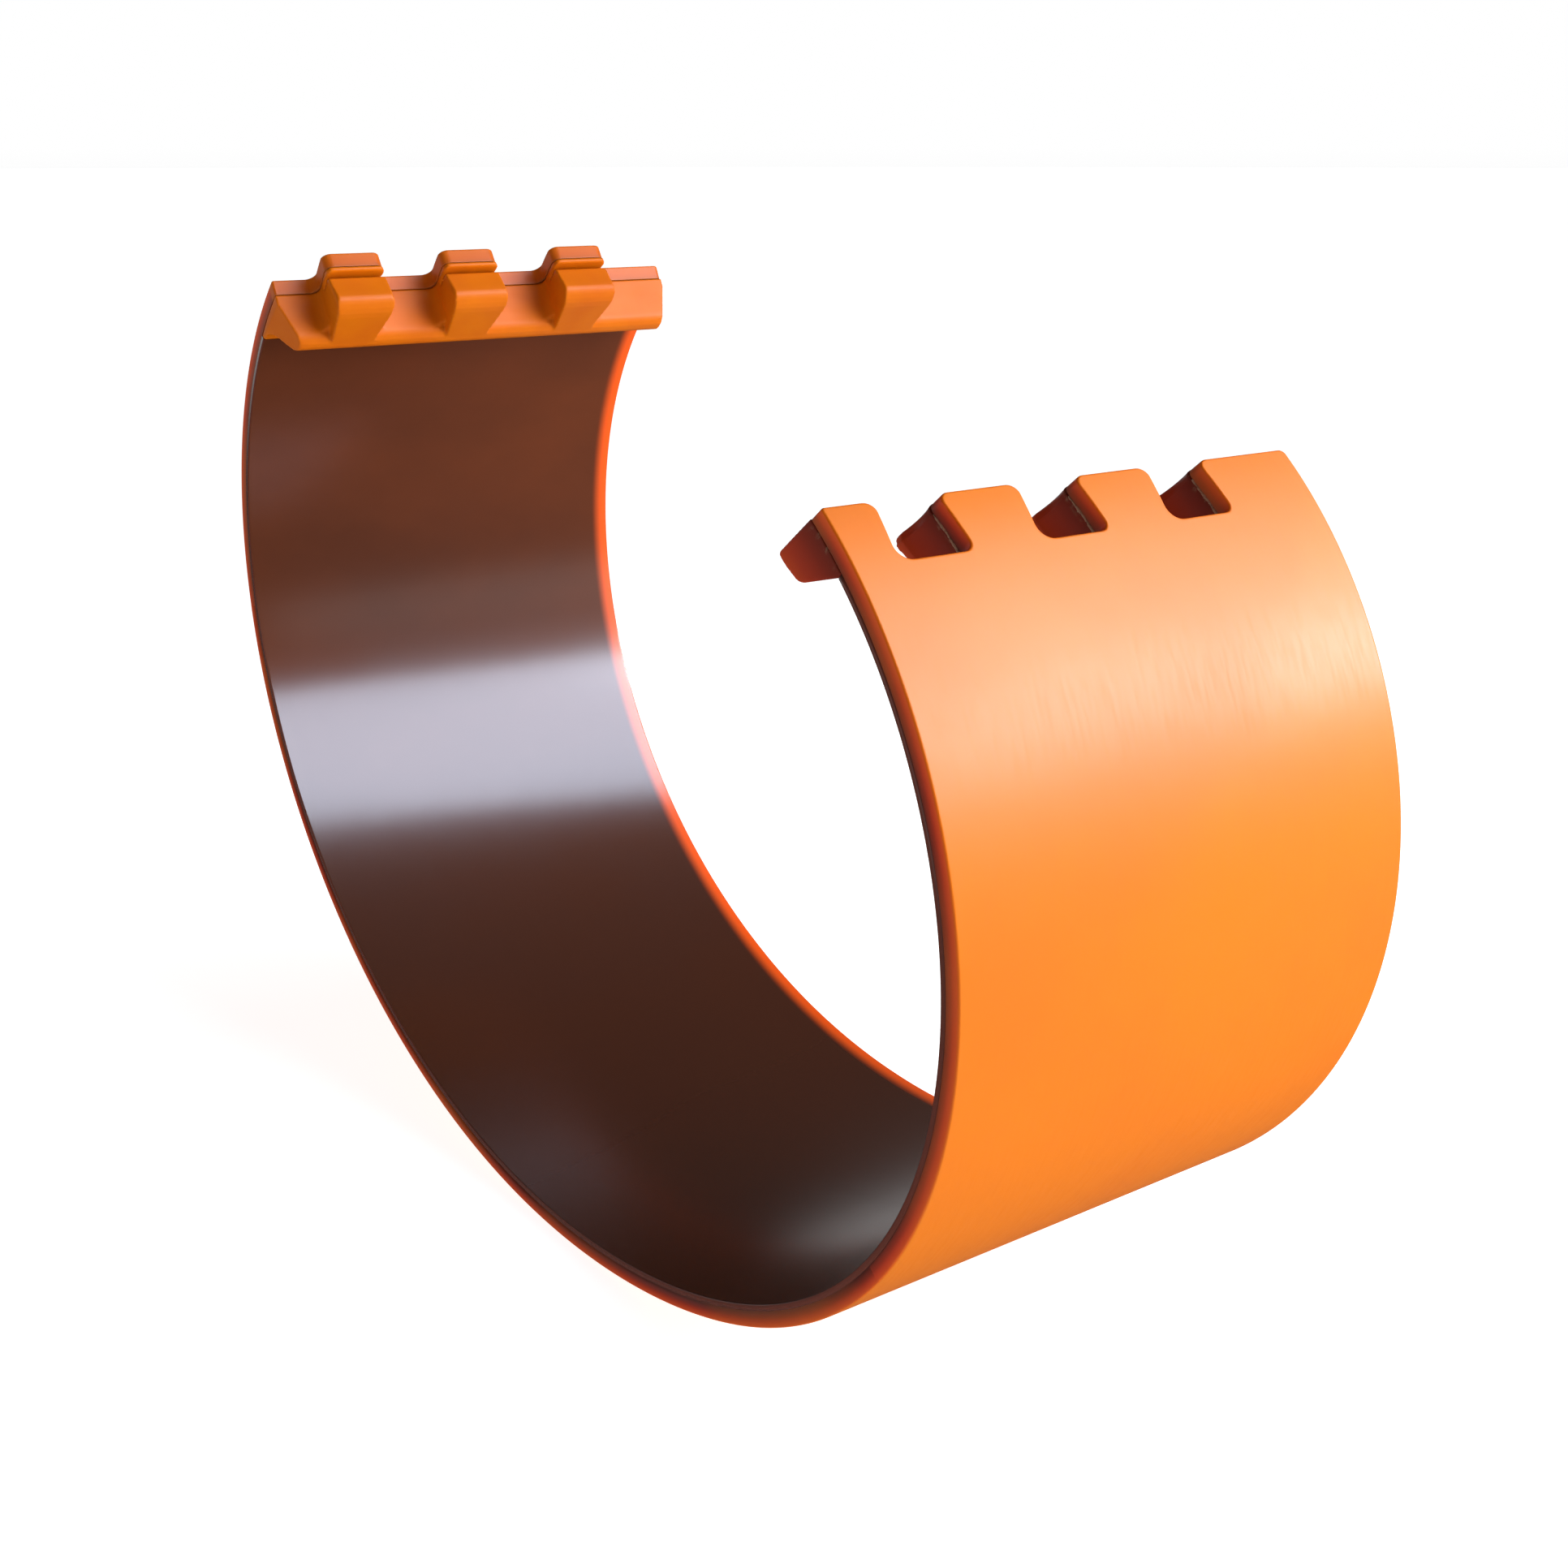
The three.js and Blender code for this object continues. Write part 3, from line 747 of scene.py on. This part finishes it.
def bead(name, path, side, shear, proud, mat, body, seed):
    """A thin uneven bead of bonding resin along path, a list of (y, s) on a wall.

    side is +1 if the open air is to the left of the path's direction."""
    pts = []
    run = 0.0
    p = np.array(path, float)
    keep = [p[0]]
    for q in p[1:]:
        gap = np.linalg.norm(q - keep[-1])
        n = max(1, int(gap / 0.7))
        for i in range(1, n + 1):
            pts_i = keep[-1] + (q - keep[-1]) / (n - i + 1)
            keep.append(pts_i)
    p = np.array(keep)
    tang = np.gradient(p, axis=0)
    tang /= np.linalg.norm(tang, axis=1)[:, None]
    nrm = np.stack([-tang[:, 1], tang[:, 0]], 1) * side
    rings = []
    for i, (q, n) in enumerate(zip(p, nrm)):
        a = i * 0.7
        fade = min(1.0, i / 3.0, (len(p) - 1 - i) / 3.0)
        o = proud * (0.62 + 0.38 * wobble(a, seed)) * max(0.12, fade)
        mid = 8.35 + 0.28 * wobble(a * 0.6, seed + 3)
        half = 0.75 + 0.3 * wobble(a * 0.9, seed + 5)
        ring = []
        for off, dd in ((-0.5, -half), (o * 0.55, -half * 0.7), (o, -half * 0.1), (o * 0.8, half * 0.5), (o * 0.25, half), (-0.5, half)):
            ring.append((q[1] + n[1] * off, q[0] + n[0] * off, mid + dd))
        rings.append(ring)
    sbd = np.array([v for r in rings for v in r])
    k = 6
    faces = [tuple(range(k)), tuple(range(len(rings) * k - 1, (len(rings) - 1) * k - 1, -1))]
    for i in range(len(rings) - 1):
        for j in range(k):
            m = (j + 1) % k
            faces.append((i * k + j, i * k + m, (i + 1) * k + m, (i + 1) * k + j))
    moved = sbd.copy()
    moved[:, 0] += shear(sbd[:, 0]) * sbd[:, 2]
    ob = mesh_object(name, band_to_world(moved), faces, sbd)
    dress(ob, mat)
    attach(ob, body)
    return ob


def resin_material():
    m = Nodes("bond_resin")
    v = m.attr("band", "Vector")
    n = m.noise(v, 700, 3, 0.6)
    col = m.ramp(n, [(0.3, hexlin(92, 58, 40)), (0.5, hexlin(150, 112, 84)), (0.7, hexlin(110, 66, 44))])
    m.link(col, m.b.inputs["Base Color"])
    m.link(m.maprange(n, 0.3, 0.7, 0.3, 0.55), m.b.inputs["Roughness"])
    m.link(m.bump(n, 0.4, 0.0002), m.b.inputs["Normal"])
    return m.mat


MAT_BOND = resin_material()
deep_plan = slot_outline(LENGTH, 4.8)
slot_shear = lambda s: SLOPE * np.clip((s - (LENGTH - 24)) / 20, 0, 1)
wall = [q for q in deep_plan if abs(q[0]) < W2 - 4 and q[1] > S_B + 5]
for i, yc in enumerate(FINGER_Y):
    run = [q for q in wall if yc - NOTCH_DEEP - 3 < q[0] < yc + NOTCH_DEEP + 3 and q[1] < LENGTH - 5]
    bead("bond_line_notch_%d" % (i + 1), run, 1, slot_shear, 0.26, MAT_BOND, "slot_arm", 1.0 + i)

# ------------------------------------------------------------------- stage
def plain(name, color, rough=0.6):
    m = bpy.data.materials.new(name)
    m.use_nodes = True
    b = m.node_tree.nodes["Principled BSDF"]
    b.inputs["Base Color"].default_value = color
    b.inputs["Roughness"].default_value = rough
    return m


bm = bmesh.new()
bmesh.ops.create_circle(bm, cap_ends=True, segments=96, radius=60)
me = bpy.data.meshes.new("floor")
bm.to_mesh(me)
bm.free()
floor = bpy.data.objects.new("floor", me)
floor.location = (0, 0, -0.0006)
bpy.context.scene.collection.objects.link(floor)
paper = plain("floor", (0.55, 0.55, 0.55, 1), 0.9)
paper.node_tree.nodes["Principled BSDF"].inputs["Emission Color"].default_value = (1, 1, 1, 1)
paper.node_tree.nodes["Principled BSDF"].inputs["Emission Strength"].default_value = 0.90
floor.data.materials.append(paper)
floor.visible_glossy = False

world = bpy.data.worlds.new("studio")
bpy.context.scene.world = world
world.use_nodes = True
wt = world.node_tree
# a pale sweep behind the floor, and a dim ceiling above it
co = wt.nodes.new("ShaderNodeTexCoord")
sp = wt.nodes.new("ShaderNodeSeparateXYZ")
ra = wt.nodes.new("ShaderNodeValToRGB")
bands = ra.color_ramp.elements
while len(bands) < 5:
    bands.new(0.1 + 0.1 * len(bands))
for i, (z, g) in enumerate(((0.44, 0.08), (0.497, 1.0), (0.535, 1.0), (0.60, 0.07), (1.0, 0.05))):
    bands[i].position = z
    bands[i].color = (g, g, g, 1)
half_z = wt.nodes.new("ShaderNodeMapRange")
half_z.inputs["From Min"].default_value = -1
wt.links.new(co.outputs["Generated"], sp.inputs[0])
wt.links.new(sp.outputs["Z"], half_z.inputs["Value"])
wt.links.new(half_z.outputs["Result"], ra.inputs["Fac"])
wt.links.new(ra.outputs["Color"], wt.nodes["Background"].inputs["Color"])
wt.nodes["Background"].inputs["Strength"].default_value = 1.0


def area_light(name, loc, target, size_x, size_y, watts, color=(1, 1, 1)):
    li = bpy.data.lights.new(name, "AREA")
    li.shape = "RECTANGLE"
    li.size, li.size_y = size_x, size_y
    li.energy = watts
    li.color = color
    ob = bpy.data.objects.new(name, li)
    ob.location = loc
    ob.rotation_euler = (Vector(target) - Vector(loc)).to_track_quat("-Z", "Y").to_euler()
    bpy.context.scene.collection.objects.link(ob)
    return ob


main = area_light("softbox", (1.25, 1.0, 1.25), (-0.1, 0, 0.22), 1.35, 0.95, 33.5, (0.98, 0.98, 1.0))
low = area_light("low_softbox", (1.6, 1.3, 0.62), (-0.1, 0, 0.3), 1.2, 0.7, 27, (1.0, 0.98, 0.96))
# the two sheets of window light that the surfaces mirror: one high and near, one low and far
high = area_light("window_high", (1.183, 0.9, 1.458), (-0.30, -0.02, 0.18), 1.5, 1.08, 88, (0.70, 0.81, 1.0))
far = area_light("window_far", (3.1, 3.55, 2.08), (0.3, 0, 0.34), 1.2, 1.0, 300, (0.78, 0.88, 1.0))
for ob in (main, low):
    ob.visible_glossy = False
for ob in (high, far):
    ob.visible_diffuse = False
sun = bpy.data.lights.new("sun", "SUN")
sun.energy = 0.55
sun.angle = math.radians(35)
sun_ob = bpy.data.objects.new("sun", sun)
sun_ob.visible_glossy = False
sun_ob.rotation_euler = Vector((-0.28, -0.45, -1.0)).to_track_quat("-Z", "Y").to_euler()
bpy.context.scene.collection.objects.link(sun_ob)

# ------------------------------------------------------------------ camera
AZ, EL = math.radians(53.4909), math.radians(21.1714)
cam_data = bpy.data.cameras.new("camera")
cam = bpy.data.objects.new("camera", cam_data)
bpy.context.scene.collection.objects.link(cam)
cam.location = (0.840099, -0.550105, 0.540801)
fw = Vector((-math.sin(AZ) * math.cos(EL), math.cos(AZ) * math.cos(EL), -math.sin(EL)))
cam.rotation_mode = "QUATERNION"
cam.rotation_quaternion = fw.to_track_quat("-Z", "Y")
cam_data.sensor_width = 36
cam_data.lens = 44.9687
cam_data.shift_x = -60 / 1932
cam_data.shift_y = 150 / 1932
cam_data.clip_start, cam_data.clip_end = 0.01, 100
bpy.context.scene.camera = cam
bpy.context.scene.view_settings.view_transform = "Standard"
